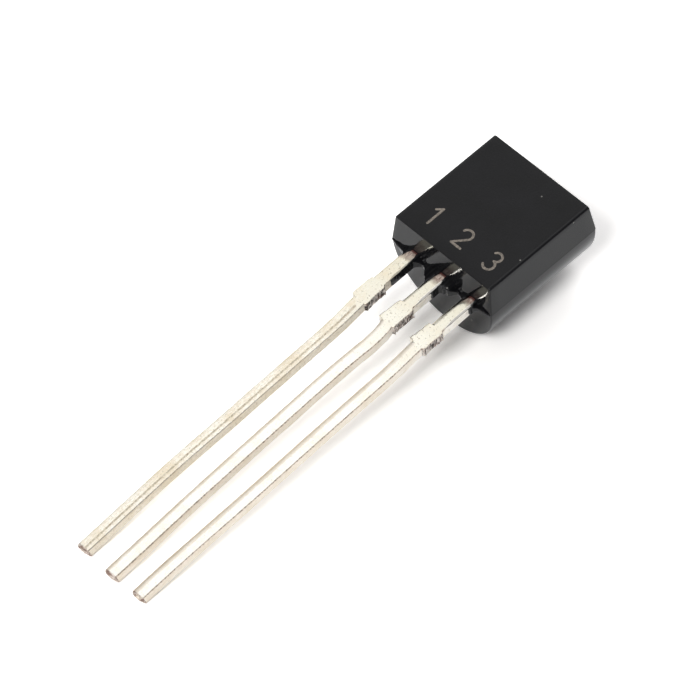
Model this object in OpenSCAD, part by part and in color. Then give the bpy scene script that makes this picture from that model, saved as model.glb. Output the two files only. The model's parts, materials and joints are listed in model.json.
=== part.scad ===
// A small three-lead transistor in a D-shaped moulded case, lying at rest on the round back of
// the case and on the tips of its leads.
//
// Everything is drawn in the case's own frame: X runs across the leads from lead 1 to lead 3,
// Y runs along the leads, with the leads' end of the case at 0 and the leads on the minus side,
// and Z is the way that the flat face looks, with the parting line at 0. The module at_rest()
// then tips that frame and sets it down on the plane Z = 0.

/* [Case] */
// Width of the case across its parting line
case_w = 4.42; // [3.6:0.01:5.4]
// Length of the case along the leads
case_l = 4.65; // [3.8:0.01:5.6]
// Height of the flat face over the parting line
front_h = 1.14; // [0.9:0.01:1.5]
// How far each side leans in from the parting line to the flat face
side_lean = 0.12; // [0.04:0.01:0.2]
// How far each end leans in from the parting line to the flat face
end_lean = 0.135; // [0.05:0.005:0.25]
// How far each end leans in from the parting line to the lowest line of the back
back_lean = 0.09; // [0.02:0.01:0.2]
// Depth below the parting line at which the round back starts
back_sink = 0.14; // [0:0.01:0.3]
// How far the back half of the mould steps in at the parting line
mould_step = 0.015; // [0.005:0.005:0.04]
// Radius of the two long edges of the flat face
edge_r = 0.1; // [0.04:0.01:0.2]

/* [Resin lip] */
// How far the lip between the leads stands out of the end of the case
lip_out = 0.12; // [0.04:0.01:0.3]
// Width of the lip beyond the outer edges of the outer leads
lip_side = 0.3; // [0.1:0.01:0.45]
// Radius of the hollows in the lip between the leads
scallop_r = 0.36; // [0.15:0.01:0.45]

/* [Leads] */
// Distance between neighbouring leads
pitch = 1.27; // [1:0.01:1.55]
// Width of a lead outside the case
lead_w = 0.42; // [0.34:0.01:0.52]
// Thickness of the lead frame
lead_t = 0.38; // [0.3:0.01:0.48]
// Length of the outer leads outside the case
lead_l = 14.32; // [11:0.01:18]
// How much longer the middle lead is
middle_extra = 0.06; // [0:0.01:0.3]
// How far the tips of the outer leads have bent down towards the back
tip_drop = 0.944; // [0.2:0.001:1.4]
// How much less the middle lead has bent down
middle_lift = 0.02; // [0:0.005:0.1]
// Share of that bend that is a straight slope from the case on
slope_share = 0.4; // [0:0.05:1]
// How far the lead frame sits towards lead 3 in the mould
frame_shift = 0.09; // [-0.1:0.01:0.12]

/* [Tie bar stubs] */
// Distance from the case to the stubs that the tie bar left on the leads
stub_start = 1.6; // [1:0.01:2.5]
// Length of a stub along its lead
stub_l = 0.8; // [0.4:0.01:1.2]
// How far a stub stands out on each side of its lead
stub_out = 0.06; // [0.02:0.01:0.15]
// Length of the ramp at each end of a stub
stub_ramp = 0.1; // [0.03:0.01:0.2]

/* [Lead frame inside] */
// Width of the leads inside the case
inner_w = 0.7; // [0.5:0.01:0.8]
// Slot between the pieces of the lead frame
frame_gap = 0.3; // [0.2:0.01:0.35]
// Distance from the end of the case to where the leads widen
neck_l = 0.45; // [0.3:0.01:0.6]
// Length of the head of the middle lead
head_l = 0.85; // [0.6:0.01:1]
// Distance from the far end of the case to the lead frame
end_wall = 0.75; // [0.4:0.01:1]
// Diameter of the holes that lock the outer leads in the resin
lock_d = 0.34; // [0.2:0.01:0.4]

/* [Chip] */
// Side of the square chip
chip_w = 0.7; // [0.4:0.01:0.9]
// Thickness of the chip
chip_t = 0.22; // [0.15:0.01:0.3]
// Thickness of the layer that fixes the chip to the paddle
attach_t = 0.03; // [0.01:0.005:0.06]
// How far that layer comes out around the chip
attach_out = 0.05; // [0.02:0.01:0.1]
// Diameter of the bond wires
wire_d = 0.04; // [0.025:0.005:0.05]
// Diameter of the ball at the chip's end of a bond wire
ball_d = 0.1; // [0.07:0.01:0.12]
// Height of a wire's loop over the chip
loop_h = 0.22; // [0.12:0.01:0.3]

/* [Hidden] */
$fn = 96;
over = 0.5;                                  // how far cutting shapes run past what they cut

// Sideways set of each lead as it was found: pairs of distance from the case and offset.
SET_1 = [[0, 0], [1.5, 0], [3.8, 0.11], [7.5, 0.11], [10.5, 0.07], [14, 0.09]];
SET_2 = [[0, 0], [2.2, 0], [3, 0.12], [4.6, 0.08], [10, 0.1], [14, 0.13]];
SET_3 = [[0, 0.02], [2.3, 0.02], [3.8, 0.08], [8.7, 0.08], [14, 0.01]];
SETS = [SET_1, SET_2, SET_3];
step_l = 0.6;                                // spacing of the sections along the bent leads

back_r = case_w/2 - mould_step;
back_h = back_sink + back_r;                 // depth of the back's lowest line

lens = [lead_l, lead_l + middle_extra, lead_l];
drops = [tip_drop, tip_drop - middle_lift, tip_drop];

// Where the frame's pieces lie inside the case
outer_edge = pitch + inner_w/2;              // outer edges of the outer leads
inner_edge = pitch - inner_w/2;              // their inner edges
head_w = 2*(inner_edge - frame_gap);         // head of the middle lead
head_y = neck_l + head_l;                    // its far edge
paddle_y = head_y + frame_gap;               // near edge of the paddle
frame_y = case_l - end_wall;                 // far edge of the frame
paddle_x = inner_edge - frame_gap;           // right edge of the paddle
lock_y = neck_l + head_l/2;                  // centres of the lock holes

// The chip sits in the middle of the paddle
chip_x = (paddle_x - outer_edge)/2 + frame_shift;
chip_y = (paddle_y + frame_y)/2;
attach_z = lead_t/2;
chip_z = attach_z + attach_t;
chip_top = chip_z + chip_t;
pad_off = chip_w/5;                          // bond pads from the chip's centre

// The pose at rest: the case touches with the lead end of its back, the leads with their tips
tip_low = -tip_drop - lead_t/2;
rest_tilt = atan2(back_h + tip_low, lead_l + back_lean);
rest_z = back_h*cos(rest_tilt) - back_lean*sin(rest_tilt);
far_y = (case_l - back_lean)*cos(rest_tilt) + back_h*sin(rest_tilt);
near_y = -lens[1]*cos(rest_tilt) + (drops[1] - lead_t/2)*sin(rest_tilt);

module at_rest() {
    translate([0, -(far_y + near_y)/2, rest_z]) rotate([rest_tilt, 0, 0]) children();
}

// ---- curves of the leads ----

// Part of the way from 0 to 1, eased at both ends
function ease(u) = (1 - cos(180*min(max(u, 0), 1)))/2;

// Offset at distance l along a list of [distance, offset] pairs
function set_at(list, l, i = 0) =
    i >= len(list) - 1 ? list[len(list) - 1][1] :
    l > list[i + 1][0] ? set_at(list, l, i + 1) :
    list[i][1] + (list[i + 1][1] - list[i][1])*ease((l - list[i][0])/(list[i + 1][0] - list[i][0]));

// How far lead k has bent down at distance l
function drop_at(k, l) =
    let (s = max(l, 0)/lens[k]) drops[k]*(slope_share*s + (1 - slope_share)*s*s);

// Middle of lead k across the case at distance l
function middle_at(k, l) = (k - 1)*pitch + frame_shift + set_at(SETS[k], l);

// Half the width of a lead at distance l: wider at the stubs
function half_at(l) =
    let (up = (l - stub_start)/stub_ramp, down = (stub_start + stub_l - l)/stub_ramp)
    lead_w/2 + stub_out*min(ease(up), ease(down));

// Distances at which a lead of length n is drawn: both ends, the stub's ramps, even steps
function stations(n) = let (
        stub_end = stub_start + stub_l,
        ramps = [for (a = [stub_start, stub_end - stub_ramp], f = [0, 0.5, 1]) a + f*stub_ramp],
        first = stub_end + step_l/2,
        count = ceil((n - first)/step_l))
    concat([0, stub_start/2], ramps, [for (i = [0:count]) first + i*(n - first)/count]);

// ---- case ----

module round_corner_flat() {
    lean = atan2(side_lean, front_h);
    half = case_w/2 - side_lean;
    reach = edge_r*tan((90 - lean)/2);       // from the corner to where the rounding starts
    polygon([
        [-case_w/2, 0], [case_w/2, 0],
        [half + reach*sin(lean), front_h - reach*cos(lean)], [half - reach, front_h],
        [reach - half, front_h], [-half - reach*sin(lean), front_h - reach*cos(lean)]]);
    for (side = [-1, 1])
        translate([side*(half - reach), front_h - edge_r]) circle(r = edge_r);
}

// D-shaped outline of the case, seen along the leads
module case_outline() {
    round_corner_flat();
    translate([-back_r, -back_sink]) square([2*back_r, back_sink]);
    intersection() {
        translate([0, -back_sink]) circle(r = back_r);
        translate([-back_r, -back_sink - back_r]) square([2*back_r, back_r]);
    }
}

// Side outline of the case: both ends lean in from the parting line
module case_profile() {
    polygon([
        [0, 0], [end_lean, front_h], [case_l - end_lean, front_h], [case_l, 0],
        [case_l - back_lean, -back_h], [back_lean, -back_h]]);
}

// Strip of resin that ran out between the leads, hollowed between them
module lip() {
    w = 2*(pitch + lead_w/2 + lip_side);
    difference() {
        translate([frame_shift - w/2, -lip_out, -lead_t/2])
            cube([w, lip_out + end_lean, lead_t]);
        for (k = [-0.5, 0.5])
            translate([frame_shift + k*pitch, -lip_out - scallop_r + lip_out*0.75, -lead_t])
                cylinder(r = scallop_r, h = 2*lead_t);
    }
}

module case_blank() {
    intersection() {
        translate([0, case_l, 0]) rotate([90, 0, 0]) linear_extrude(case_l) case_outline();
        translate([-case_w/2 - over, 0, 0]) rotate([90, 0, 90])
            linear_extrude(case_w + 2*over) case_profile();
    }
    lip();
}

module moulded_case() {
    difference() {
        case_blank();
        collector_shape();
        base_shape();
        emitter_shape();
        attach_shape();
        chip_shape();
        base_wire_shape();
        emitter_wire_shape();
    }
}

// ---- leads ----

// Plan of the outer part of lead k, with its root just inside the case
module lead_plan(k) {
    st = stations(lens[k]);
    last = len(st) - 1;
    polygon(concat(
        [[middle_at(k, 0) - lead_w/2, neck_l]],
        [for (i = [0:last]) [middle_at(k, st[i]) - half_at(st[i]), -st[i]]],
        [for (i = [last:-1:0]) [middle_at(k, st[i]) + half_at(st[i]), -st[i]]],
        [[middle_at(k, 0) + lead_w/2, neck_l]]));
}

// Side outline of lead k: straight in the case, bent down outside it
module lead_profile(k) {
    st = stations(lens[k]);
    last = len(st) - 1;
    polygon(concat(
        [[case_l, lead_t/2]],
        [for (i = [0:last]) [-st[i], lead_t/2 - drop_at(k, st[i])]],
        [for (i = [last:-1:0]) [-st[i], -lead_t/2 - drop_at(k, st[i])]],
        [[case_l, -lead_t/2]]));
}

// A whole lead: its outer plan and the outline given as a child, cut to the side outline
module lead(k) {
    intersection() {
        translate([0, 0, -tip_drop - over]) linear_extrude(tip_drop + 2*over) union() {
            lead_plan(k);
            translate([frame_shift, 0]) children();
        }
        translate([-case_w, 0, 0]) rotate([90, 0, 90]) linear_extrude(2*case_w) lead_profile(k);
    }
}

// Lead 1 carries the paddle on which the chip sits
module collector_shape() {
    lead(0) difference() {
        union() {
            translate([-outer_edge, neck_l]) square([inner_w, frame_y - neck_l]);
            translate([-outer_edge, paddle_y]) square([outer_edge + paddle_x, frame_y - paddle_y]);
        }
        translate([-pitch, lock_y]) circle(d = lock_d);
    }
}

// Lead 2 ends in a wide head for its bond wire
module base_shape() {
    lead(1) translate([-head_w/2, neck_l]) square([head_w, head_l]);
}

// Lead 3 runs up beside the paddle
module emitter_shape() {
    lead(2) difference() {
        translate([inner_edge, neck_l]) square([inner_w, frame_y - neck_l]);
        translate([pitch, lock_y]) circle(d = lock_d);
    }
}

// ---- chip ----

module attach_shape() {
    w = chip_w + 2*attach_out;
    translate([chip_x - w/2, chip_y - w/2, attach_z]) cube([w, w, attach_t]);
}

module chip_shape() {
    translate([chip_x - chip_w/2, chip_y - chip_w/2, chip_z]) cube([chip_w, chip_w, chip_t]);
}

SIDES = 8;                                   // flats round a bond wire
SPAN = 8;                                    // steps along a wire's loop

// A wire from a ball on the chip at a to a flat stitch on the frame at b, both [x, y]
module bond_wire(a, b) {
    span = norm(b - a);
    flat = wire_d/2*cos(180/SIDES);          // centre of the wire over what it lies on
    ball_h = ball_d/2;
    top = chip_top + loop_h;
    rise = top - wire_d;                     // where the wire starts to turn
    end = span - 2*wire_d;                   // where the stitch starts
    low = lead_t/2 + flat;
    // rings: [distance along the span, height, radius, slope of the wire]
    loop = [for (i = [0:SPAN]) let (u = i/SPAN)
        [end*u, low + (rise - low)*sqrt(max(0, 1 - u*u)) + wire_d*sin(180*u), wire_d/2, 90 - 90*u]];
    rings = concat(
        [[0, chip_top, ball_d/2, 90], [0, chip_top + ball_h, ball_d/2, 90],
         [0, chip_top + ball_h + wire_d/2, wire_d/2, 90]],
        loop, [[span, low, wire_d/2, 0]]);
    turn = atan2(b[1] - a[1], b[0] - a[0]);
    points = [for (r = rings, j = [0:SIDES - 1]) let (t = 360*(j + 0.5)/SIDES)
        [r[0] - r[2]*sin(t)*sin(r[3]), r[2]*cos(t), r[1] + r[2]*sin(t)*cos(r[3])]];
    n = len(rings);
    sides = [for (i = [0:n - 2], j = [0:SIDES - 1]) let (k = (j + 1)%SIDES)
        [i*SIDES + j, i*SIDES + k, (i + 1)*SIDES + k, (i + 1)*SIDES + j]];
    caps = [[for (j = [SIDES - 1:-1:0]) j], [for (j = [0:SIDES - 1]) (n - 1)*SIDES + j]];
    translate([a[0], a[1], 0]) rotate([0, 0, turn]) polyhedron(points, concat(sides, caps));
}

module base_wire_shape() {
    bond_wire([chip_x + pad_off, chip_y - pad_off],
              [frame_shift, neck_l + head_l*0.7]);
}

module emitter_wire_shape() {
    bond_wire([chip_x + pad_off, chip_y + pad_off],
              [pitch + frame_shift, chip_y + pad_off]);
}

// ---- nodes ----

module case() { color("#242426") at_rest() moulded_case(); }
module collector_lead() { color("#d6d2c4") at_rest() collector_shape(); }
module base_lead() { color("#d6d2c4") at_rest() base_shape(); }
module emitter_lead() { color("#d6d2c4") at_rest() emitter_shape(); }
module die_attach() { color("#8f8f94") at_rest() attach_shape(); }
module silicon_die() { color("#5b6273") at_rest() chip_shape(); }
module base_bond_wire() { color("#d9b24c") at_rest() base_wire_shape(); }
module emitter_bond_wire() { color("#d9b24c") at_rest() emitter_wire_shape(); }

case();
collector_lead();
base_lead();
emitter_lead();
die_attach();
silicon_die();
base_bond_wire();
emitter_bond_wire();
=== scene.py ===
"""Looks of a small three-lead transistor: a black moulded case with a matt front, three tinned
leads with the sheared stubs of their tie bar, the resin that ran out round them, whose skin
down the leads' sides is partly painted shade, and the numbers 1 to 3 marked over the leads.

The pieces are drawn in millimetres in the case's own frame and then set down in the row frame.
In the case's frame X runs across the leads, Y runs from the leads' end of the case to its far
end, and N is the way that the flat front looks, with 0 at the parting line."""

import json
import math

import bmesh
import bpy
from mathutils import Matrix, Quaternion, Vector, noise


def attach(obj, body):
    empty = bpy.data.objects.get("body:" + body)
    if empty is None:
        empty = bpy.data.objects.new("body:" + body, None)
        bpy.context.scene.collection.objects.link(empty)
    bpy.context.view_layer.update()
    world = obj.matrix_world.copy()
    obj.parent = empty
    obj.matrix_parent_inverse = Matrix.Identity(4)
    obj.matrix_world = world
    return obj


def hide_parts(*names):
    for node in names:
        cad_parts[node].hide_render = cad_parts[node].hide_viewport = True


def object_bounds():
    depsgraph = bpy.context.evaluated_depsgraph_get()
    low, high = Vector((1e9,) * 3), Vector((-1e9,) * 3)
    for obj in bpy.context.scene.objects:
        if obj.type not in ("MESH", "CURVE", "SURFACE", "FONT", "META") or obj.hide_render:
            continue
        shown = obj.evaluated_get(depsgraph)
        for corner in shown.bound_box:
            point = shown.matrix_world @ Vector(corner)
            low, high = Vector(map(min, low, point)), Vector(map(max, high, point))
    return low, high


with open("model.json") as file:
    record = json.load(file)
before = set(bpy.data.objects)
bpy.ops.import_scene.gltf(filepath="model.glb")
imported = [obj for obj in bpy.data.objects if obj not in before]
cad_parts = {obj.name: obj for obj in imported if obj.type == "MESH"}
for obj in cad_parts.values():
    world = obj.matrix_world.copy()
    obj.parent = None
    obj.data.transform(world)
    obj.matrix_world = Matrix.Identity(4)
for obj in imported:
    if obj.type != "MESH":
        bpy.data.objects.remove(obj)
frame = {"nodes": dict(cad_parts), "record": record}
cad_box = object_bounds()

MM = 0.001  # one millimetre in metres

# ---- the case's own frame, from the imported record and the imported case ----

mount = next(m for m in frame["record"]["mounts"] if m["name"] == "flat_front")
OUT = Vector(mount["axis"])
ALONG = Vector((0, OUT.z, -OUT.y))
ACROSS = Vector((1, 0, 0))
FRONT = Vector(mount["pos_m"])

case_points = [v.co - FRONT for v in frame["nodes"]["case"].data.vertices]
widest = max(case_points, key=lambda p: p.x)
CASE_W = 2 * widest.x / MM
CASE_L = 2 * max(p.dot(ALONG) for p in case_points) / MM
FRONT_H = -widest.dot(OUT) / MM
BACK_H = -min(p.dot(OUT) for p in case_points) / MM - FRONT_H

# Takes millimetres in the case's frame to metres in the row frame
TO_ROW = Matrix((ACROSS, ALONG, OUT)).transposed().to_4x4()
TO_ROW.translation = FRONT - (ALONG * CASE_L / 2 + OUT * FRONT_H) * MM
TO_ROW @= Matrix.Scale(MM, 4)
TO_CASE = TO_ROW.inverted()

# ---- sizes of the case, in millimetres ----

SIDE_LEAN = 0.12  # how far each side leans in, from the parting line to the front
END_LEAN = 0.135  # how far each end does
BACK_LEAN = 0.09  # how far each end leans in, from the parting line to the lowest line
BACK_SINK = 0.14  # height of the upright strip between the parting line and the round back
MOULD_STEP = 0.015  # the back half of the mould is this much smaller on each side
EDGE_R = 0.1  # rounding between the front and the sides
END_R = 0.05  # rounding at the ends
BACK_R = CASE_W / 2 - MOULD_STEP

# ---- sizes of the leads, in millimetres ----

LEADS = ("collector_lead", "base_lead", "emitter_lead")
LEAD_T = 0.38  # thickness
LEAD_W = 0.42  # width without the stubs
LEAD_EDGE_R = 0.032  # rounding of the edges
LEFT_EDGE_R = (0.08, 0.2, 0.27)  # the left edges are rounded more, by the stamping
LEFT_OUT = (0.07, 0.1, 0.125)  # and bulge out a little
ROOT = 0.3  # how far the drawn part of a lead reaches into the case
TIP_R = 0.11  # rounding of the tip
TIP_FLAT = 0.66  # size of the flat left in the middle of the tip, as a share
TIP_LEAN = 0.34  # how much shorter the underside is there, as a share of the thickness
TIP_BLEND = 0.35  # over this length it starts to lean
SHARP_ANGLE = math.radians(32)  # edges sharper than this stay sharp


def ease(u):
    """0 to 1, eased at both ends."""
    return 0.5 - 0.5 * math.cos(math.pi * min(max(u, 0.0), 1.0))


def curve_at(points, at):
    """Value at a distance on the smooth curve through a list of (distance, value) pairs."""
    last = len(points) - 1
    if at <= points[0][0]:
        return points[0][1]
    if at >= points[last][0]:
        return points[last][1]
    i = max(k for k in range(last) if points[k][0] <= at)

    def slope(k):
        before, after = points[max(k - 1, 0)], points[min(k + 1, last)]
        return (after[1] - before[1]) / (after[0] - before[0])

    (start, low), (end, high) = points[i], points[i + 1]
    gap = end - start
    u = (at - start) / gap
    bend_in = (u**3 - 2 * u**2 + u) * gap * slope(i)
    bend_out = (u**3 - u**2) * gap * slope(i + 1)
    rise = (high - low) * (3 * u**2 - 2 * u**3)
    return low + rise + bend_in + bend_out


def steps(start, end, count):
    """count + 1 even steps from start to end."""
    return [start + (end - start) * k / count for k in range(count + 1)]


def bumps(x, y, z=0):
    """Smooth unevenness from about -1 to 1, with features about 1 wide. A distance times 8 gives
    features an eighth of a millimetre wide, and a plain number picks another pattern."""
    return noise.noise(Vector((x, y, z)))


# ---- meshes ----


def loft(bm, rings, material=lambda ring, side: 0):
    """Skin over a row of closed rings of points, with a fan over each end. material says what
    finish a face has that starts at a ring and a side."""
    rows = [[bm.verts.new(p) for p in ring] for ring in rings]
    count = len(rings[0])
    for i, (near, far) in enumerate(zip(rows, rows[1:])):
        for j in range(count):
            k = (j + 1) % count
            face = bm.faces.new((near[j], near[k], far[k], far[j]))
            face.material_index = material(i, j)
    for i, row in ((0, rows[0]), (len(rows) - 1, rows[-1])):
        middle = bm.verts.new(sum((v.co for v in row), Vector()) / count)
        for j in range(count):
            face = bm.faces.new((row[j], row[(j + 1) % count], middle))
            face.material_index = material(i, j)


def new_object(name, data):
    """Puts a mesh, a lamp or a camera into the scene."""
    item = bpy.data.objects.new(name, data)
    bpy.context.scene.collection.objects.link(item)
    return item


def as_object(bm, name, materials):
    """An object from a bmesh, with its materials."""
    bmesh.ops.recalc_face_normals(bm, faces=bm.faces)
    mesh = bpy.data.meshes.new(name)
    bm.to_mesh(mesh)
    bm.free()
    for material in materials:
        mesh.materials.append(material)
    return new_object(name, mesh)


def combine(piece, others, operation):
    """Unites closed shapes with a piece, or cuts them from it, and removes them."""
    for other in others:
        step = piece.modifiers.new("combine", "BOOLEAN")
        step.operation = operation
        step.solver = "EXACT"
        step.object = other
    seen = bpy.context.evaluated_depsgraph_get()
    seen.update()
    mesh = bpy.data.meshes.new_from_object(piece.evaluated_get(seen))
    piece.modifiers.clear()
    piece.data = mesh
    for other in others:
        bpy.data.objects.remove(other)


def finish_piece(piece, nodes=()):
    """Sets a drawn piece down in the row frame, smooths it and makes it ride on the body."""
    mesh = piece.data
    mesh.transform(TO_ROW)
    mesh.shade_smooth()
    mesh.set_sharp_from_angle(angle=SHARP_ANGLE)
    flat_faces = piece.modifiers.new("flat faces stay flat", "WEIGHTED_NORMAL")
    flat_faces.keep_sharp = True
    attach(piece, "root")
    if nodes:
        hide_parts(*nodes)


# ---- materials ----

SOFT = 0.55  # how much the finer features of a cloudy pattern count

# Distances out from the case between which a lead's tin changes, in millimetres
NEAR_TONE = (4.5, 0.8)  # to the tone that it has by the case
SCUFFED = (2.9, 2.0)  # to more strongly marked tin
DARK_LINE = (0.09, 0.03)  # to the dark line round the lead at the case
STAINED = (0.02, -0.26)  # to stained tin, where there is no tarnish
STAIN_OUT = 0.8  # and up to this much further out, where there is most


def linear(text):
    """A colour written as #rrggbb in sRGB, as linear values."""
    parts = [int(text[k : k + 2], 16) / 255 for k in (1, 3, 5)]
    return [c / 12.92 if c <= 0.04045 else ((c + 0.055) / 1.055) ** 2.4 for c in parts] + [1.0]


def fill(tree, node, inputs):
    """Fills a node's inputs, by name or number: with a value, with an output, or with the first
    output in use of another node."""
    for name, value in inputs.items():
        if isinstance(name, int):
            socket = node.inputs[name]
        else:
            socket = next(s for s in node.inputs if s.enabled and s.name == name)
        if isinstance(value, bpy.types.Node):
            value = next(s for s in value.outputs if s.enabled)
        if isinstance(value, bpy.types.NodeSocket):
            tree.links.new(value, socket)
        else:
            socket.default_value = value


def add_node(tree, kind, inputs, **settings):
    """Adds a node, sets its properties and fills its inputs."""
    node = tree.nodes.new(kind)
    for name, value in settings.items():
        setattr(node, name, value)
    fill(tree, node, inputs)
    return node


def new_material(name):
    """A material with its node tree, its shader and the object's own coordinates."""
    material = bpy.data.materials.new(name)
    material.use_nodes = True
    tree = material.node_tree
    shader = tree.nodes["Principled BSDF"]
    place = add_node(tree, "ShaderNodeTexCoord", {}).outputs["Object"]
    return material, tree, shader, place


def per_mm(size):
    """Scale of a pattern whose features are size millimetres wide."""
    return 1 / (size * MM)


def features(place, size, detail):
    """Inputs of a cloudy pattern whose features are size millimetres wide."""
    return {"Vector": place, "Scale": per_mm(size), "Detail": detail, "Roughness": SOFT}


def limits(value, start, end, low=0.0, high=1.0):
    """Inputs of a range that goes from low to high where a value goes from start to end."""
    return {"Value": value, "From Min": start, "From Max": end, "To Min": low, "To Max": high}


def two_tones(tree, value, start, end, dark, light):
    """A colour that goes from dark to light where a pattern's value goes from start to end."""
    share = add_node(tree, "ShaderNodeMapRange", limits(value, start, end))
    tones = {"Factor": share, "A": linear(dark), "B": linear(light)}
    return add_node(tree, "ShaderNodeMix", tones, data_type="RGBA")


def moulding_resin(name, dark, light, gloss, roughness, depth):
    """Epoxy moulding compound, black with soot and filled with ground silica. Its skin is finely
    grained, and a few of the coarsest grains of the filler show in it as light dots."""
    material, tree, shader, place = new_material(name)
    clouds = add_node(tree, "ShaderNodeTexNoise", features(place, 0.9, 3.0))
    grains = add_node(tree, "ShaderNodeTexNoise", features(place, 0.05, 2.0))
    base = two_tones(tree, clouds, 0.3, 0.7, dark, light)

    cells = add_node(tree, "ShaderNodeTexVoronoi", {"Vector": place, "Scale": per_mm(0.45)})
    dots = limits(cells.outputs["Distance"], 0.04, 0.08, 1.0, 0.0)
    dots = add_node(tree, "ShaderNodeMapRange", dots)
    few = add_node(tree, "ShaderNodeMapRange", limits(cells.outputs["Color"], 0.68, 0.7))
    dots = add_node(tree, "ShaderNodeMath", {0: dots, 1: few}, operation="MULTIPLY")
    filler = add_node(tree, "ShaderNodeMapRange", limits(dots, 0.0, 1.0, 0.0, 0.6))
    tones = {"Factor": filler, "A": base, "B": linear("#a5a29c")}

    polish = limits(clouds, 0.3, 0.7, roughness - 0.03, roughness + 0.03)
    relief = {"Height": grains, "Strength": 0.5, "Distance": depth * MM}
    inputs = {
        "Base Color": add_node(tree, "ShaderNodeMix", tones, data_type="RGBA"),
        "Roughness": add_node(tree, "ShaderNodeMapRange", polish),
        "IOR": 1.52,
        "Specular IOR Level": gloss,
        "Normal": add_node(tree, "ShaderNodeBump", relief),
    }
    fill(tree, shader, inputs)
    return material


def satin_resin():
    """The resin of the sides, the back and the ends, from a polished steel mould, which gives it
    a smooth satin skin that mirrors what is near."""
    return moulding_resin(
        "satin_resin", "#0c0c0e", "#131315", gloss=0.29, roughness=0.09, depth=0.002
    )


def matt_resin():
    """The resin of the flat front, from a spark-eroded mould, which gives it an even matt skin.
    It is full of pores, so it gives back less light."""
    return moulding_resin(
        "matt_resin", "#0c0c0d", "#141416", gloss=0.19, roughness=0.5, depth=0.012
    )


def tinned_lead(name, dark, light, near, smooth, cloudy, bare, mark, marked):
    """Matt tin plated on a stamped copper strip: pale and slightly warm, clouded by tarnish, with
    fine streaks along the lead from the rolled strip under it. Right at the case it is stained
    brown. The grain of the tin is drawn coarser than it is, so that it shows.

    dark and light are the tones of the streaks, and near is the tone by the case. smooth is the
    least roughness and cloudy how much tarnish shows. Copper shows through in spots of the
    colour mark: more of them with a lower bare, and as strong as marked away from the case."""
    material, tree, shader, place = new_material(name)
    case_end = TO_ROW.translation.y
    along = add_node(tree, "ShaderNodeSeparateXYZ", {"Vector": place}).outputs["Y"]

    def from_case(value, span, low=0.0, high=1.0):
        """Limits at the two distances out from the case that a span names."""
        far, close = span
        return limits(value, case_end - far * MM, case_end - close * MM, low, high)

    stretch = {0: place, 1: (1.0, 0.4, 1.0)}
    drawn = add_node(tree, "ShaderNodeVectorMath", stretch, operation="MULTIPLY")
    streaks = add_node(tree, "ShaderNodeTexNoise", features(drawn, 0.05, 3.0))
    tarnish = add_node(tree, "ShaderNodeTexNoise", features(place, 0.7, 4.0))
    spots = add_node(tree, "ShaderNodeTexNoise", features(place, 0.075, 2.0))
    grains = add_node(tree, "ShaderNodeTexNoise", features(place, 0.03, 2.0))

    by_case = add_node(tree, "ShaderNodeMapRange", from_case(along, NEAR_TONE))
    clouded = add_node(tree, "ShaderNodeMapRange", limits(tarnish, 0.42, 0.66, 0.0, cloudy))
    worn = add_node(tree, "ShaderNodeMapRange", limits(spots, bare, bare + 0.08))
    strength = add_node(tree, "ShaderNodeMapRange", from_case(along, SCUFFED, marked, 0.8))
    worn = add_node(tree, "ShaderNodeMath", {0: worn, 1: strength}, operation="MULTIPLY")
    plated = two_tones(tree, streaks, 0.35, 0.65, dark, light)
    for share, colour in ((by_case, near), (clouded, "#e0d2b8"), (worn, mark)):
        tones = {"Factor": share, "A": plated, "B": linear(colour)}
        plated = add_node(tree, "ShaderNodeMix", tones, data_type="RGBA")

    stain = two_tones(tree, streaks, 0.38, 0.62, "#8f786c", "#d6c3b6")
    line = add_node(tree, "ShaderNodeMapRange", from_case(along, DARK_LINE))
    tones = {"Factor": line, "A": stain, "B": linear("#5d3630")}
    stain = add_node(tree, "ShaderNodeMix", tones, data_type="RGBA")
    ragged = {0: tarnish, 1: STAIN_OUT * MM, 2: along}
    ragged = add_node(tree, "ShaderNodeMath", ragged, operation="MULTIPLY_ADD")
    stained = add_node(tree, "ShaderNodeMapRange", from_case(ragged, STAINED))
    tones = {"Factor": stained, "A": plated, "B": stain}

    polish = limits(streaks, 0.3, 0.7, smooth, smooth + 0.09)
    rough = {0: stained, 1: 0.3, 2: add_node(tree, "ShaderNodeMapRange", polish)}
    bare_metal = limits(stained, 0.0, 1.0, 1.0, 0.35)
    relief = add_node(tree, "ShaderNodeMath", {0: streaks, 1: grains}, operation="ADD")
    relief = {"Height": relief, "Strength": 0.1, "Distance": 0.004 * MM}
    inputs = {
        "Base Color": add_node(tree, "ShaderNodeMix", tones, data_type="RGBA"),
        "Metallic": add_node(tree, "ShaderNodeMapRange", bare_metal),
        "Roughness": add_node(tree, "ShaderNodeMath", rough, operation="MULTIPLY_ADD"),
        "Normal": add_node(tree, "ShaderNodeBump", relief),
    }
    fill(tree, shader, inputs)
    return material


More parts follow.
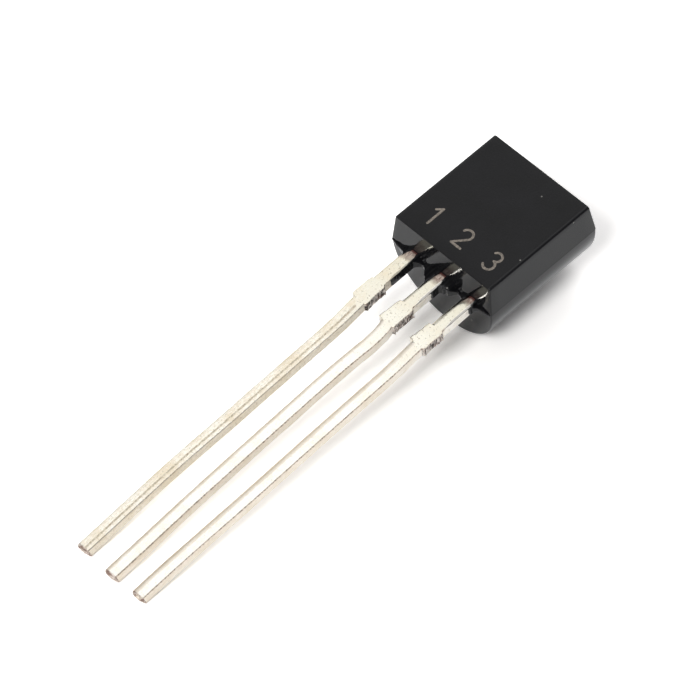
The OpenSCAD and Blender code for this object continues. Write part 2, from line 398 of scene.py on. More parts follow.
def sheared_metal(name, dark, light):
    """Bare copper alloy where the punch sheared the lead, brown-grey and torn into ridges, with
    smears of tin drawn over it. The ridges are drawn coarser than they are, so that they show.
    On the stubs its near-black tone between the ridges is partly painted shade."""
    material, tree, shader, place = new_material(name)
    stretch = {0: place, 1: (0.3, 1.0, 0.3)}
    torn = add_node(tree, "ShaderNodeVectorMath", stretch, operation="MULTIPLY")
    harsh = {**features(torn, 0.06, 3.0), "Roughness": 0.75}
    ridges = add_node(tree, "ShaderNodeTexNoise", harsh)
    smears = add_node(tree, "ShaderNodeTexNoise", features(place, 0.16, 2.0))
    base = two_tones(tree, ridges, 0.43, 0.58, dark, light)
    warm = add_node(tree, "ShaderNodeMapRange", limits(smears, 0.5, 0.65, 0.0, 0.4))
    tones = {"Factor": warm, "A": base, "B": linear("#8a6d63")}
    polish = limits(ridges, 0.3, 0.7, 0.6, 0.4)
    relief = {"Height": ridges, "Strength": 0.9, "Distance": 0.02 * MM}
    inputs = {
        "Base Color": add_node(tree, "ShaderNodeMix", tones, data_type="RGBA"),
        "Metallic": 1.0,
        "Roughness": add_node(tree, "ShaderNodeMapRange", polish),
        "Normal": add_node(tree, "ShaderNodeBump", relief),
    }
    fill(tree, shader, inputs)
    return material


def burnt_resin():
    """Resin that a laser has burnt pale: a dry, grey-brown line of overlapping spots."""
    material, tree, shader, place = new_material("burnt_resin")
    spots = add_node(tree, "ShaderNodeTexNoise", features(place, 0.06, 2.0))
    dry = limits(spots, 0.0, 1.0, 0.75, 0.95)
    relief = {"Height": spots, "Strength": 0.6, "Distance": 0.008 * MM}
    inputs = {
        "Base Color": two_tones(tree, spots, 0.35, 0.65, "#5d5750", "#8a8177"),
        "Roughness": add_node(tree, "ShaderNodeMapRange", dry),
        "Normal": add_node(tree, "ShaderNodeBump", relief),
    }
    fill(tree, shader, inputs)
    return material


def smooth_finish(name, dark, light, metallic, roughness, size):
    """A smooth finish whose colour, gloss and relief vary a little, in clouds size mm wide."""
    material, tree, shader, place = new_material(name)
    clouds = add_node(tree, "ShaderNodeTexNoise", features(place, size, 3.0))
    polish = limits(clouds, 0.3, 0.7, roughness, roughness + 0.12)
    relief = {"Height": clouds, "Strength": 0.3, "Distance": 0.003 * MM}
    inputs = {
        "Base Color": two_tones(tree, clouds, 0.3, 0.7, dark, light),
        "Metallic": metallic,
        "Roughness": add_node(tree, "ShaderNodeMapRange", polish),
        "Normal": add_node(tree, "ShaderNodeBump", relief),
    }
    fill(tree, shader, inputs)
    return material


def burnished_tin():
    """Tin that the tool pressed smooth as it rolled the edge over: pale and nearly a mirror."""
    return smooth_finish("burnished_tin", "#efe8dc", "#fdfaf3", 1.0, 0.08, 0.07)


def die_solder():
    """Solder under the chip, melted and set: a soft grey metal."""
    return smooth_finish("die_solder", "#7d7d82", "#9c9ca1", 1.0, 0.4, 0.1)


def silicon():
    """A chip of polished silicon: dark blue-grey, with a half metallic shine."""
    return smooth_finish("silicon", "#474d5c", "#6a7286", 0.6, 0.12, 0.2)


def bond_wire():
    """Drawn gold wire: bright and yellow."""
    return smooth_finish("bond_wire", "#c79f3c", "#e3bd5e", 1.0, 0.2, 0.05)


# ---- camera, light and floor ----

CAMERA_AZIMUTH = math.radians(46.45)
CAMERA_ELEVATION = math.radians(51.61)
CAMERA_ROLL = math.radians(-0.42)
CAMERA_DISTANCE = 164.4 * MM
CAMERA_LENS = 271.6
LAMP_DISTANCE = 0.6  # from the object to each softbox, in metres
CARD_GAIN = 1.48  # how much whiter the card is to the camera, so that it shows as plain white
CARD_SHINE = 1.1  # how much whiter it is where the object mirrors it
CARD_SIZE = 2.0  # from its middle to its edges, in metres
ROOM_LIGHT = 0.24  # brightness of the room round the softboxes
AIM = Vector((-0.68, 1.48, -1.0)) * MM  # from the middle of the transistor's box
WATTS = math.pi  # what a square metre of softbox takes to look as bright as white paper


def direction(azimuth, elevation):
    """From the object outward: azimuth 0 is towards -Y and 90 towards +X."""
    flat = math.cos(elevation)
    return Vector((math.sin(azimuth) * flat, -math.cos(azimuth) * flat, math.sin(elevation)))


def add_camera():
    """The camera, aimed at the transistor through a long lens."""
    back = direction(CAMERA_AZIMUTH, CAMERA_ELEVATION)
    camera = new_object("camera", bpy.data.cameras.new("camera"))
    camera.data.lens = CAMERA_LENS
    camera.data.clip_start = 0.01
    camera.data.clip_end = 20
    camera.location = (cad_box[0] + cad_box[1]) / 2 + AIM + back * CAMERA_DISTANCE
    camera.rotation_mode = "QUATERNION"
    camera.rotation_quaternion = back.to_track_quat("Z", "Y") @ Quaternion((0, 0, 1), CAMERA_ROLL)
    bpy.context.scene.camera = camera


def add_softbox(name, azimuth, elevation, width, height, brightness):
    """A softbox that faces the object and looks width by height degrees big from it; brightness
    1 looks like white paper."""
    lamp = bpy.data.lights.new(name, "AREA")
    lamp.shape = "RECTANGLE"
    lamp.size = 2 * LAMP_DISTANCE * math.tan(math.radians(width / 2))
    lamp.size_y = 2 * LAMP_DISTANCE * math.tan(math.radians(height / 2))
    lamp.energy = brightness * lamp.size * lamp.size_y * WATTS
    stand = new_object(name, lamp)
    towards = direction(math.radians(azimuth), math.radians(elevation))
    stand.location = towards * LAMP_DISTANCE
    stand.rotation_mode = "QUATERNION"
    stand.rotation_quaternion = towards.to_track_quat("Z", "Y")


def add_world():
    """A studio that is dim around the object and plain white to the camera."""
    world = bpy.data.worlds.new("studio")
    world.use_nodes = True
    tree = world.node_tree
    room = tree.nodes["Background"]
    fill(tree, room, {"Color": linear("#e6e8ec"), "Strength": ROOM_LIGHT})
    white = add_node(tree, "ShaderNodeBackground", {"Color": linear("#ffffff"), "Strength": 1.0})
    path = add_node(tree, "ShaderNodeLightPath", {})
    inputs = {0: path.outputs["Is Camera Ray"], 1: room, 2: white}
    shown = add_node(tree, "ShaderNodeMixShader", inputs)
    fill(tree, tree.nodes["World Output"], {"Surface": shown})
    bpy.context.scene.world = world


def add_floor():
    """A sheet of white card, whiter where it is seen or mirrored than where it lights the object."""
    material, tree, shader, _ = new_material("white_card")
    path = add_node(tree, "ShaderNodeLightPath", {})
    mirrored = [CARD_SHINE * c for c in linear("#ffffff")]
    seen = [CARD_GAIN * c for c in linear("#fffdfb")]
    tones = {"Factor": path.outputs["Is Glossy Ray"], "A": linear("#ececea"), "B": mirrored}
    card = add_node(tree, "ShaderNodeMix", tones, data_type="RGBA")
    tones = {"Factor": path.outputs["Is Camera Ray"], "A": card, "B": seen}
    card = add_node(tree, "ShaderNodeMix", tones, data_type="RGBA")
    fill(tree, shader, {"Base Color": card, "Roughness": 1.0, "Specular IOR Level": 0.0})
    bm = bmesh.new()
    bmesh.ops.create_grid(bm, x_segments=1, y_segments=1, size=CARD_SIZE)
    as_object(bm, "floor", [material])


# ---- the case ----

# How finely each part of the case's skin is divided
FRONT_COLUMNS = 26
FLANK_ROWS = 8
WALL_ROWS = 2
BACK_ROWS = 36
CORNER_ROWS = 6
END_ROWS = 5
BODY_ROWS = 12

PARTING_R = 0.012  # rounding of the front half's lower edge
PARTING_GAP = 0.02  # depth of the fine groove along the parting line
SATIN, MATT = range(2)  # the case's finishes, by their place in its list


def right_outline():
    """Right half of the case's outline from the front's corner to the back's lowest line, as
    (x, n, direction of the normal) with 90 degrees for straight out of the front."""
    lean = math.atan(SIDE_LEAN / FRONT_H)
    half = CASE_W / 2 - SIDE_LEAN
    reach = EDGE_R * math.tan((math.pi / 2 - lean) / 2)
    points = []
    for angle in steps(math.pi / 2, lean, CORNER_ROWS):
        x = half - reach + EDGE_R * math.cos(angle)
        points.append((x, FRONT_H - EDGE_R + EDGE_R * math.sin(angle), angle))
    top = points[-1]
    low = (CASE_W / 2, PARTING_R, lean)
    for u in steps(0, 1, FLANK_ROWS)[1:]:
        points.append((top[0] + (low[0] - top[0]) * u, top[1] + (low[1] - top[1]) * u, lean))
    points.append((CASE_W / 2 - PARTING_R * 0.4, PARTING_R * 0.3, 0.0))
    points.append((BACK_R - PARTING_GAP, 0.0, 0.0))
    points.append((BACK_R - PARTING_R * 0.4, -PARTING_R * 0.6, 0.0))
    for n in steps(-PARTING_R * 1.6, -BACK_SINK, WALL_ROWS):
        points.append((BACK_R, n, 0.0))
    for angle in steps(0, -math.pi / 2, BACK_ROWS)[1:]:
        points.append((BACK_R * math.cos(angle), -BACK_SINK + BACK_R * math.sin(angle), angle))
    return points


def end_lean_at(n):
    """How far an end of the case leans in at a height over the parting line."""
    return END_LEAN * n / FRONT_H if n > 0 else -BACK_LEAN * n / BACK_H


def case_rows(inset, reach):
    """Rows of the case's section from the front to the back: each is a left and a right point,
    moved in by inset; reach turns a height into the distance along the case."""
    rows = []
    for x, n, angle in right_outline():
        x_in = max(x - inset * math.cos(angle), 0.0)
        n_in = n - inset * math.sin(angle)
        rows.append((Vector((-x_in, reach(n_in), n_in)), Vector((x_in, reach(n_in), n_in))))
    return rows


def case_stations():
    """(inset, distance as a function of height) for each section along the case."""
    near, far = [], []
    for angle in steps(0, math.pi / 2, END_ROWS):
        inset = END_R * (1 - math.sin(angle))
        depth = END_R * (1 - math.cos(angle))
        near.append((inset, lambda n, d=depth: end_lean_at(n) + d))
        far.append((inset, lambda n, d=depth: CASE_L - end_lean_at(n) - d))
    for u in steps(0, 1, BODY_ROWS)[1:-1]:
        def between(n, u=u):
            start = end_lean_at(n) + END_R
            return start + (CASE_L - 2 * start) * u
        near.append((0.0, between))
    return near + far[::-1]


def case_body():
    """The moulded body: one closed skin with round edges, a matt front and a parting line."""
    bm = bmesh.new()
    grids = []
    for inset, reach in case_stations():
        rows = case_rows(inset, reach)
        left, right = rows[0]
        front = [bm.verts.new(left.lerp(right, u)) for u in steps(0, 1, FRONT_COLUMNS)]
        sides = [(front[0], front[-1])]
        for left, right in rows[1:-1]:
            sides.append((bm.verts.new(left), bm.verts.new(right)))
        bottom = bm.verts.new(rows[-1][1])
        sides.append((bottom, bottom))
        grids.append((front, sides))

    def skin(corners, material):
        face = bm.faces.new(corners)
        face.material_index = material

    for (front, sides), (next_front, next_sides) in zip(grids, grids[1:]):
        for j in range(FRONT_COLUMNS):
            skin((front[j], front[j + 1], next_front[j + 1], next_front[j]), MATT)
        for i in range(len(sides) - 1):
            for k in (0, 1):
                corners = (sides[i][k], next_sides[i][k], next_sides[i + 1][k], sides[i + 1][k])
                skin(corners, SATIN)

    for front, sides in (grids[0], grids[-1]):
        above = front
        for left, right in sides[1:]:
            if left is right:
                for j in range(FRONT_COLUMNS):
                    skin((above[j], above[j + 1], left), SATIN)
                break
            between = steps(0, 1, FRONT_COLUMNS)[1:-1]
            row = [left] + [bm.verts.new(left.co.lerp(right.co, u)) for u in between] + [right]
            for j in range(FRONT_COLUMNS):
                skin((above[j], above[j + 1], row[j + 1], row[j]), SATIN)
            above = row
    return bm


# Webs of resin that ran out of the mould beside the leads: for each, its outline as
# (x, how far it stands out), and its upper and lower height over the parting line as (x, n).
WEBS = [
    {
        "out": [(-2.18, 0.02), (-1.95, 0.075), (-1.68, 0.12), (-1.5, 0.2), (-1.36, 0.36)],
        "top": [(-2.18, 0.0), (-1.75, 0.0), (-1.5, 0.09), (-1.36, 0.17)],
        "low": [(-2.18, -0.05), (-1.9, -0.12), (-1.36, -0.19)],
    },
    {
        "out": [(-1.0, 0.34), (-0.9, 0.2), (-0.76, 0.1), (-0.63, 0.12), (-0.5, 0.26),
                (-0.35, 0.38), (-0.22, 0.48), (-0.1, 0.62)],
        "top": [(-1.0, 0.17), (-0.85, 0.08), (-0.7, 0.01), (-0.5, 0.05), (-0.28, 0.13),
                (-0.1, 0.18)],
        "low": [(-1.0, -0.19), (-0.7, -0.14), (-0.1, -0.19)],
    },
    {
        "out": [(0.28, 0.42), (0.42, 0.35), (0.6, 0.31), (0.7, 0.22), (0.8, 0.1), (0.92, 0.1),
                (1.03, 0.15), (1.16, 0.13)],
        "top": [(0.28, 0.18), (0.6, 0.17), (0.76, 0.08), (0.9, 0.01), (1.16, 0.02)],
        "low": [(0.28, -0.19), (0.6, -0.14), (0.9, -0.1), (1.16, -0.19)],
    },
    {
        "out": [(1.52, 0.42), (1.6, 0.22), (1.72, 0.1), (1.95, 0.07), (2.18, 0.02)],
        "top": [(1.52, 0.15), (1.64, 0.06), (1.9, 0.03), (2.18, 0.0)],
        "low": [(1.52, -0.17), (1.7, -0.1), (1.95, -0.07), (2.18, -0.04)],
    },
]
WEB_SINK = 0.12  # how far the webs reach into the case
WEB_STEP = 0.02
WEB_EDGE_R = 0.018
WEB_EDGE_ROWS = 5
WEB_RAGGED = 0.16  # how ragged its outline is, as a share of how far it stands out
WEB_UNEVEN = 0.012  # how uneven its upper edge is
WEB_SAG = 0.01  # and its flat top


def resin_web(web):
    """One web: a ragged shelf with a flat top and a small round edge."""
    bm = bmesh.new()
    start, end = web["out"][0][0], web["out"][-1][0]
    rings = []
    for x in steps(start, end, round((end - start) / WEB_STEP)):
        ragged = bumps(x * 8, 0.3) + 0.6 * bumps(x * 24, 0.9)
        out = curve_at(web["out"], x) * (1 + WEB_RAGGED * ragged)
        top = curve_at(web["top"], x) + WEB_UNEVEN * bumps(x * 20, 2.3)
        low = curve_at(web["low"], x)
        radius = min(WEB_EDGE_R, (top - low) / 2, out)
        ring = [Vector((x, WEB_SINK, low)), Vector((x, WEB_SINK, top)), Vector((x, 0.0, top))]
        for u in (0.4, 0.8):
            sag = WEB_SAG * bumps(x * 13, out * u * 13, 4.1)
            ring.append(Vector((x, -(out - radius) * u, top + sag)))
        for first, last, middle in ((90, 0, top - radius), (0, -90, low + radius)):
            for angle in steps(math.radians(first), math.radians(last), WEB_EDGE_ROWS):
                away = out - radius + radius * math.cos(angle)
                ring.append(Vector((x, -away, middle + radius * math.sin(angle))))
        rings.append(ring)
    loft(bm, rings)
    return bm


def make_case(satin, matt):
    """The whole case: the moulded body with the webs of resin joined to it."""
    case = as_object(case_body(), "moulded_case", [satin, matt])
    webs = [as_object(resin_web(web), "web", [satin, matt]) for web in WEBS]
    combine(case, webs, "UNION")
    return case


# ---- the leads ----

# Finishes of a lead, by their place in its list: the face, the sheared sides of a stub, the
# stamped sides, the rounded edges, the sheared tip, and the edge rolled over near the case
FACE, SHEARED, SIDE, RIM, TIP, ROLL = range(6)

# The right edge of a lead is rolled over near the case: its arcs as (radius, start, end, rows),
# with the angles between the surface and the face of the lead.
ROLL_R = 0.42
ROLL_ARCS = ((LEAD_EDGE_R, 90, 29, 3), (ROLL_R, 29, 21, 2), (LEAD_EDGE_R, 21, 0, 1))
ROLL_START = 1.35
ROLL_END = 1.05
EDGE_ROWS = 6  # rows round each of the other edges
LEFT_RAMP = 0.5  # over this distance from the case the left edge comes to bulge out

# A stamping crease runs down the face of the first lead and leaves the face's left side tilted
CREASE = (0.05, 0.0, 0.0)  # how far the left side is tilted down, for each lead
CREASE_AT = 0.38  # where the crease is, as a share of the face from its right side
CREASE_DEPTH = 0.018
CREASE_START = 2.6
CREASE_RAMP = 1.5
FLAT_STEPS = (0.25, 0.5, 0.75)
TOP_STEPS = (CREASE_AT - 0.09, CREASE_AT, CREASE_AT + 0.08, 0.6, 0.8)

# Stubs of the tie bar, for each lead: their ends' distances from the case, and how far each
# side stands out
STUBS = [
    {"start": 1.5, "end": 2.42, "right": 0.06, "left": 0.065},
    {"start": 1.5, "end": 2.45, "right": 0.065, "left": 0.06},
    {"start": 1.49, "end": 2.38, "right": 0.06, "left": 0.055},
]
STUB_RAMP = 0.07
STUB_RAGGED = 0.35  # how unevenly the stub was cut, as a share of how far it stands out
STUB_MARGIN = 0.1  # the sections are close together from this far before it to as far past it
RIDGES = 0.014  # height of the torn ridges on its sheared side
BURRS = (("start", 0.05, 0.05), ("end", -0.05, 0.045))  # from where, how far on, how far out
BURR_L = 0.035
UNDER_DENTS = 0.03  # depth of the dents in its underside

# Distances between the sections of a lead, and how many rows its root and its tip have
LEAD_STEP = 0.06
NEAR_STEP = 0.03
STUB_STEP = 0.02
ROOT_ROWS = 3
TIP_ROWS = 5
TINNED_TIP = (1, 0, 6)  # on how many of the tip's last rows tin is drawn over the upper side

WEAR = 0.006  # how uneven the leads are
FINE_WEAR = 0.0025
ROOT_SHARP = 0.9  # how much sharper the edges are inside the case, as a share
STUB_SHARP = 0.6  # and on the stubs


def lead_course(node):
    """The course of a CAD lead outside the case: (distance, middle x) and (distance, middle n)."""
    rings = {}
    for vertex in frame["nodes"][node].data.vertices:
        point = TO_CASE @ vertex.co
        if point.y < 0.01:
            rings.setdefault(round(-point.y, 2), []).append(point)
    middles, heights = [], []
    for distance in sorted(rings):
        xs = [p.x for p in rings[distance]]
        ns = [p.z for p in rings[distance]]
        middles.append((distance, (min(xs) + max(xs)) / 2))
        heights.append((distance, (min(ns) + max(ns)) / 2))
    return middles, heights


def corner(arcs, scale):
    """Points of a rounded corner from its upright side to its flat top, as (distance in from the
    side, depth under the top)."""
    inset, up = 0.0, 0.0
    points = [(inset, up)]
    for radius, start, end, count in arcs:
        angles = steps(math.radians(start), math.radians(end), count)
        for angle, angle_next in zip(angles, angles[1:]):
            inset += scale * radius * (math.sin(angle) - math.sin(angle_next))
            up += scale * radius * (math.cos(angle_next) - math.cos(angle))
            points.append((inset, up))
    return [(x, up - n) for x, n in points]


def lead_section(left, right, sharp, left_r, rolled, crease):
    """Rounded section of a lead about its middle, from its right edge on, as (x, n, side). side
    is top, left, bottom or right, or rim and bend for the rounded edges, or groove in the
    crease. left and right are the half widths, sharp scales the corners, left_r rounds the left
    edge, rolled is how far the right edge is rolled over, and crease is how far the left of the
    face is tilted down."""
    half_t = LEAD_T / 2
    roll = [(LEAD_EDGE_R + (radius - LEAD_EDGE_R) * rolled, *turn) for radius, *turn in ROLL_ARCS]
    under = corner([(LEAD_EDGE_R, 90, 0, EDGE_ROWS)], sharp)
    over_left = corner([(left_r, 90, 0, EDGE_ROWS)], sharp)
    corners = (
        [(right - x, half_t - n) for x, n in corner(roll, sharp)],
        [(x - left, half_t - n) for x, n in reversed(over_left)],
        [(x - left, n - half_t) for x, n in under],
        [(right - x, n - half_t) for x, n in reversed(under)],
    )
    points = []
    crease_x = 0.0
    for k, side in enumerate(("top", "left", "bottom", "right")):
        points += [[x, n, "bend" if side == "left" else "rim"] for x, n in corners[k]]
        points[-1][2] = side
        start, end = Vector(corners[k][-1]), Vector(corners[(k + 1) % 4][0])
        for u in TOP_STEPS if side == "top" else FLAT_STEPS:
            x_on, n_on = start.lerp(end, u)
            if side == "top" and u == CREASE_AT:
                crease_x = x_on
                n_on -= CREASE_DEPTH if crease else 0.0
            in_groove = side == "top" and u in TOP_STEPS[:2] and crease
            points.append([x_on, n_on, "groove" if in_groove else side])
    for point in points:
        if point[1] > 0:
            point[1] -= crease * max(0.0, (crease_x - point[0]) / (crease_x + left))
    return points


def stub_at(stub, side, distance):
    """How far a stub stands out on one side at a distance from the case."""
    up = ease((distance - stub["start"]) / STUB_RAMP)
    down = ease((stub["end"] - distance) / STUB_RAMP)
    ragged = 1 + STUB_RAGGED * bumps(distance * 7, stub[side] * 90, 0.5)
    if side == "left":  # which stands out further towards the stub's far end
        ragged *= 0.6 + 1.2 * (distance - stub["start"]) / (stub["end"] - stub["start"])
    return stub[side] * min(up, down) * ragged


def torn_edge(stub, distance, n):
    """How much further the sheared side of a stub is torn out: ridges all along it, and a burr
    low down at either end."""
    torn = RIDGES * bumps(distance * 26, n * 3, stub["start"] * 9)
    low = ease(0.5 - n / LEAD_T)
    for end, shift, size in BURRS:
        away = (distance - (stub[end] + shift)) / BURR_L
        torn += size * low * math.exp(-(away**2))
    return torn


def lead_stations(length, stub):
    """Distances of the sections along a lead up to its rounded tip, closer at the stub."""
    first = stub["start"] - STUB_MARGIN
    last = stub["end"] + STUB_MARGIN
    spots = steps(-ROOT, 0, ROOT_ROWS)[:-1]
    spots += steps(0, first, round(first / NEAR_STEP))[:-1]
    spots += steps(first, last, round((last - first) / STUB_STEP))[:-1]
    spots += steps(last, length - TIP_R, round((length - last) / LEAD_STEP))
    return spots


def outer_lead(k):
    """The part of a lead outside the case, swept along its bent course to a sheared tip."""
    middles, heights = lead_course(LEADS[k])
    length = middles[-1][0]
    stub = STUBS[k]
    rings, kinds = [], []

    def place(distance, section, shrink, middle_at):
        """A section set on the lead's course, worn, and torn and dented on the stub."""
        ring = []
        in_stub = stub["start"] < distance < stub["end"]
        for x, n, side in section:
            if in_stub and side == "right":
                x += torn_edge(stub, distance, n)
            if in_stub and n < -LEAD_T / 3:
                n += UNDER_DENTS * bumps(distance * 13, x * 4, k * 3.3)
            wear = WEAR * bumps(k * 5 + x * 3, distance * 0.9, n * 3)
            wear += FINE_WEAR * bumps(k * 5 + x * 9, distance * 5, n * 9)
            grow = 1 + wear / (LEAD_W / 2)
            x_out = curve_at(middles, middle_at) + x * shrink * grow
            n_out = curve_at(heights, middle_at) + n * shrink * grow
            back = TIP_LEAN * (LEAD_T / 2 - n) * ease(1 - (length - distance) / TIP_BLEND)
            ring.append(Vector((x_out, back - distance, n_out)))
        return ring

    for distance in lead_stations(length, stub):
        right_out = stub_at(stub, "right", distance)
        right = LEAD_W / 2 + right_out
        left = LEAD_W / 2 + LEFT_OUT[k] * ease(distance / LEFT_RAMP) + stub_at(stub, "left", distance)
        inside = min(max(-distance / ROOT, 0.0), 1.0)
        sharp = 1 - ROOT_SHARP * ease(inside * 2)
        sharp *= 1 - STUB_SHARP * min(1.0, right_out / stub["right"])
        rolled = ease((ROLL_START - distance) / (ROLL_START - ROLL_END))
        crease = CREASE[k] * ease((distance - CREASE_START) / CREASE_RAMP)
        section = lead_section(left, right, sharp, LEFT_EDGE_R[k], rolled, crease)
        rings.append(place(distance, section, 1.0, distance))
        sides = SHEARED if stub["start"] < distance < stub["end"] else SIDE
        looks = {
            "right": sides,
            "left": sides,
            "rim": RIM if k and distance > ROLL_START else ROLL,
            "bend": SIDE if k and distance > stub["end"] else FACE,
            # The crease's groove takes the darker rim finish, so its dark line is painted shade,
            # partly exposed copper and dirt.
            "groove": RIM,
        }
        kinds.append([looks.get(side, FACE) for _, _, side in section])

    tip_angles = steps(0, math.pi / 2, TIP_ROWS)
    for angle in tip_angles[1:]:
        distance = length - TIP_R + TIP_R * math.sin(angle)
        shrink = 1 - (1 - TIP_FLAT) * (1 - math.cos(angle))
        rings.append(place(distance, section, shrink, length))
    kinds.pop()  # the faces past the last section before the tip are the tip's first row
    for row in range(TIP_ROWS + 1):
        tinned = row > TIP_ROWS - TINNED_TIP[k]
        kinds.append([RIM if tinned and side == "top" else TIP for _, _, side in section])

    bm = bmesh.new()
    loft(bm, rings, lambda ring, side: kinds[ring][side])
    return bm


def inner_lead(node):
    """The part of a CAD lead inside the case, cut off half way along the outer part's root."""
    bm = bmesh.new()
    bm.from_mesh(frame["nodes"][node].data)
    bm.transform(TO_CASE)
    bmesh.ops.remove_doubles(bm, verts=bm.verts, dist=1e-4)
    geometry = list(bm.verts) + list(bm.edges) + list(bm.faces)
    cut = bmesh.ops.bisect_plane(
        bm, geom=geometry, plane_co=(0, ROOT / 2, 0), plane_no=(0, -1, 0), clear_outer=True
    )
    edges = [e for e in cut["geom_cut"] if isinstance(e, bmesh.types.BMEdge)]
    bmesh.ops.holes_fill(bm, edges=edges, sides=0)
    for face in bm.faces:
        face.material_index = FACE
    return bm


def make_lead(k, finishes):
    """A whole lead: the two parts overlap in the case and are joined there."""
    name = "lead_" + LEADS[k].removesuffix("_lead")
    lead = as_object(outer_lead(k), name, finishes)
    inside = as_object(inner_lead(LEADS[k]), "inside", finishes)
    combine(lead, [inside], "UNION")
    return lead


# ---- resin on the leads, partly painted shade ----

# How far the resin creeps out along each lead: over the edge of its face, and down its side. Further
# down the sides, most of all on the first lead's right side, the black skin is painted shade where
# the tin would mirror shaded floor.
CREEP = [
    {"right": (0.78, 1.3), "left": (0.36, 0.7)},
    {"right": (0.34, 0.8), "left": (0.62, 0.9)},
    {"right": (0.2, 0.42), "left": (0.32, 0.6)},
]
CREEP_T = 0.012
CREEP_W = 0.09  # how much of the face's width it covers at the case
CREEP_LEAST = 0.02  # the least that it covers
CREEP_END = 0.12  # over this length it thins out to nothing
CREEP_SUNK = 0.004  # how far it lies in the lead where it ends
CREEP_SLANT = 1.5  # how steeply its lower edge rises to its end
CREEP_IN = 0.04  # how deep its hidden side lies in the lead
CREEP_STEP = 0.02


def resin_creep_and_shade(bm, k, side):
    """A thin skin of resin on one side of a lead that laps over the edge of its face. Where it runs
    on down the side it is partly painted shade.
    """
    middles, heights = lead_course(LEADS[k])
    face_reach, side_reach = CREEP[k][side]
    way = 1 if side == "right" else -1
    reach = max(face_reach, side_reach)
    half_w, half_t = LEAD_W / 2, LEAD_T / 2
    rings = []
    for distance in steps(-0.05, reach, round(reach / CREEP_STEP)):
        seed = Vector((distance * 9, k * 7.7, way * 3.1))
        thick = CREEP_T * (1 + 0.4 * noise.noise(seed * 2))
        over = CREEP_W * (1 - distance / face_reach) * (1 + 0.5 * noise.noise(seed))
        bare = ease((distance - face_reach) / CREEP_END + 0.5)
        over = max(over, CREEP_LEAST) - 0.008 * bare
        top = half_t - 0.4 * LEAD_EDGE_R * bare
        thick = thick * ease((reach - distance) / CREEP_END) - CREEP_SUNK
        drop = max(0.0, distance - side_reach + CREEP_END) * CREEP_SLANT
        # From the face over the lead's edge, down its side and back inside
        profile = [
            (half_w - over, top - 0.03),
            (half_w - over, top + thick * 0.2),
            (half_w - over * 0.5, top + thick),
            (half_w - 0.004, top + thick),
            (half_w + thick, top - 0.02),
            (half_w + thick, 0.0),
            (half_w + thick, drop + 0.03 - half_t),
            (half_w + thick * 0.3, drop + 0.01 - half_t),
            (half_w - CREEP_IN, drop + 0.04 - half_t),
            (half_w - CREEP_IN, top - 0.05),
        ]
        x_mid, n_mid = curve_at(middles, distance), curve_at(heights, distance)
        rings.append([Vector((x_mid + way * x, -distance, n_mid + n)) for x, n in profile])
    loft(bm, rings)


def make_creep_and_shade(satin):
    """The resin on both sides of every lead, partly painted shade, as one piece."""
    bm = bmesh.new()
    for k in range(len(LEADS)):
        for side in ("right", "left"):
            resin_creep_and_shade(bm, k, side)
    return as_object(bm, "resin_creep_and_shade", [satin])


# ---- the numbers ----

NUMBER_H = 0.72
NUMBER_W = 0.4
NUMBER_Y = 0.62  # from the end of the case to the foot of the numbers
STROKE_W = 0.085
STROKE_UP = 0.004  # how far a stroke stands over the front
STROKE_SINK = 0.03  # and how far it reaches into it
STROKE_STEP = 0.02  # the most that its points lie apart
ARC_STEPS = 14
# Section of a stroke: (share of its half width, height over the front)
STROKE_SECTION = (
    (1, -STROKE_SINK), (1, 0), (0.8, STROKE_UP), (-0.8, STROKE_UP), (-1, 0), (-1, -STROKE_SINK)
)
# Round end of a stroke: (distance past its end, width), both as shares of its half width
STROKE_END = ((0.9, 0.35), (0.6, 0.8), (0.0, 1.0))


def arc(x, y, radius, start, end):
    """Points on an arc, in shares of a number's height."""
    angles = steps(math.radians(start), math.radians(end), ARC_STEPS)
    return [(x + radius * math.cos(a), y + radius * math.sin(a)) for a in angles]


# Strokes of the numbers 1, 2 and 3
NUMBERS = [
    [[(0.08, 0.78), (0.32, 1.0)], [(0.32, 1.0), (0.32, 0.0)]],
    [arc(0.27, 0.73, 0.27, 165, -35) + [(0.0, 0.0)], [(0.0, 0.0), (0.56, 0.0)]],
    [arc(0.26, 0.76, 0.24, 150, -80), arc(0.26, 0.26, 0.27, 80, -150)],
]


def refine(path):
    """The same path with its points closer together."""
    points = [Vector(path[0])]
    for target in map(Vector, path[1:]):
        start = points[-1]
        count = max(1, math.ceil((target - start).length / STROKE_STEP))
        points += [start.lerp(target, u) for u in steps(0, 1, count)[1:]]
    return points


def add_stroke(bm, path, origin, lift):
    """One burnt line: a flat ribbon with round ends that lies in the front of the case; lift
    keeps its top clear of the stroke that it crosses."""
    corners = [(origin[0] + x * NUMBER_H, origin[1] + y * NUMBER_H) for x, y in path]
    points = refine(corners)
    half = STROKE_W / 2
    last = len(points) - 1
    rings = []
    for i, point in enumerate(points):
        along = (points[min(i + 1, last)] - points[max(i - 1, 0)]).normalized()
        across = Vector((along.y, -along.x))
        tips = [(0.0, 1.0)]
        if i == 0:
            tips = [(-half * past, share) for past, share in STROKE_END]
        elif i == last:
            tips = [(half * past, share) for past, share in reversed(STROKE_END)]
        for shift, share in tips:
            spot = 1 + 0.1 * bumps(point.x * 22, point.y * 22, shift)
            wide = half * share * spot
            at = point + along * shift
            ring = []
            for side, height in STROKE_SECTION:
                edge = at + across * wide * side
                ring.append(Vector((edge.x, edge.y, FRONT_H + height + lift)))
            rings.append(ring)
    loft(bm, rings)


def make_numbers(burnt, middles):
    """The numbers 1, 2 and 3, each over the middle of its lead."""
    bm = bmesh.new()
    for paths, middle in zip(NUMBERS, middles):
        for k, path in enumerate(paths):
            add_stroke(bm, path, (middle - NUMBER_W / 2, NUMBER_Y), k * STROKE_UP / 4)
    return as_object(bm, "lead_numbers", [burnt])


# ---- the whole ----


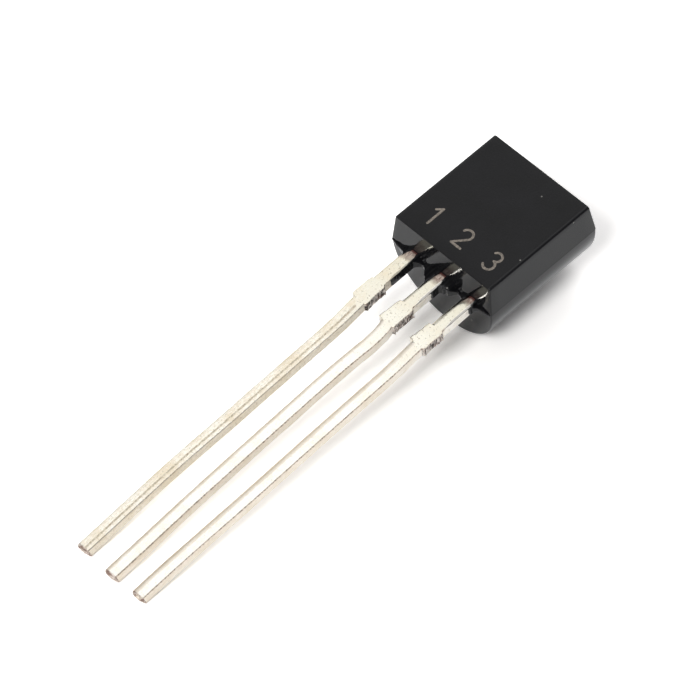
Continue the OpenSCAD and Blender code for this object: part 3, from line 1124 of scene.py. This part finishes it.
def clean_finishes(sheared, tip):
    """Finishes of the second and the third lead, whose tin is clean, from FACE to ROLL."""
    return [
        tinned_lead(
            "tinned_lead", "#f7f3e9", "#fefcf5", near="#e1ddcc",
            smooth=0.2, cloudy=0.3, bare=0.6, mark="#b0a695", marked=0.15,
        ),
        sheared,
        tinned_lead(
            "tinned_edge", "#eee3d2", "#f8f0e5", near="#fbf6ee",
            smooth=0.36, cloudy=0.4, bare=0.6, mark="#cbbba8", marked=0.3,
        ),
        tinned_lead(
            "tinned_rim", "#e2d0bd", "#f4e8da", near="#efe3d4",
            smooth=0.26, cloudy=0.3, bare=0.49, mark="#8a7262", marked=0.5,
        ),
        tip,
        burnished_tin(),
    ]


def tarnished_and_shaded_finishes(sheared, tip):
    """Finishes of the first lead, which is duller all over, from FACE to ROLL. Its sides, darker and
    tanner than the others' away from the case, are partly tarnish and partly painted shade, and the
    dark line in its crease is painted shade, partly exposed copper and dirt.
    """
    dull = {
        "dark": "#e6decd", "light": "#f8f3e8", "near": "#e1ddcc",
        "smooth": 0.2, "cloudy": 0.7, "bare": 0.6, "mark": "#b0a695", "marked": 0.3,
    }
    return [
        tinned_lead("tarnished_lead", **dull),
        sheared,
        # Darker and tanner than the clean sides away from the case: partly tarnish, partly painted
        # shade.
        tinned_lead(
            "tarnished_shaded_edge", "#e2d8c6", "#f1e9dc", near="#f1e8db",
            smooth=0.36, cloudy=0.6, bare=0.58, mark="#a8937a", marked=0.4,
        ),
        # Darker than the clean rims: on the crease's groove this is painted shade, partly exposed
        # copper and dirt.
        tinned_lead(
            "tarnished_rim_and_crease_shade", "#c4b8a2", "#dcd2c0", near="#d0bda9",
            smooth=0.26, cloudy=0.3, bare=0.45, mark="#a0937f", marked=0.6,
        ),
        tip,
        tinned_lead("tarnished_roll", **dull),
    ]


def add_studio():
    """The camera, the room, the floor, and a softbox for each bright patch that shows."""
    add_camera()
    add_world()
    add_floor()
    add_softbox("overhead", azimuth=240, elevation=58, width=56, height=50, brightness=1.02)
    add_softbox("front", azimuth=20, elevation=51, width=16, height=16, brightness=21)
    add_softbox("front_left", azimuth=325, elevation=33, width=60, height=36, brightness=1.15)
    add_softbox("right", azimuth=90, elevation=16, width=40, height=28, brightness=0.4)
    add_softbox("back", azimuth=194, elevation=25, width=56, height=30, brightness=1.6)
    add_softbox("left", azimuth=243, elevation=13, width=44, height=34, brightness=0.6)
    add_softbox("high_right", azimuth=131, elevation=65, width=30, height=28, brightness=0.4)


def finish_inner_pieces():
    """The chip, its solder and its wires stay as they are drawn in the CAD model."""
    wire = bond_wire()
    inside = {
        "die_attach": die_solder(),
        "silicon_die": silicon(),
        "base_bond_wire": wire,
        "emitter_bond_wire": wire,
    }
    for node, material in inside.items():
        for slot in frame["nodes"][node].material_slots:
            slot.material = material


def build():
    add_studio()
    satin = satin_resin()
    finish_piece(make_case(satin, matt_resin()), ["case"])

    # The stubs' torn sides are near black between the ridges: partly dark torn copper, partly painted
    # shade.
    sheared = sheared_metal("sheared_metal", "#2b2320", "#e6ded6")
    tip = sheared_metal("sheared_tip", "#947f72", "#dfd2c7")
    clean = clean_finishes(sheared, tip)
    finishes = (tarnished_and_shaded_finishes(sheared, tip), clean, clean)
    middles = []
    for k, node in enumerate(LEADS):
        middles.append(lead_course(node)[0][0][1])
        finish_piece(make_lead(k, finishes[k]), [node])

    finish_piece(make_creep_and_shade(satin))
    finish_piece(make_numbers(burnt_resin(), middles))
    finish_inner_pieces()


build()
bpy.context.scene.view_settings.view_transform = "Standard"
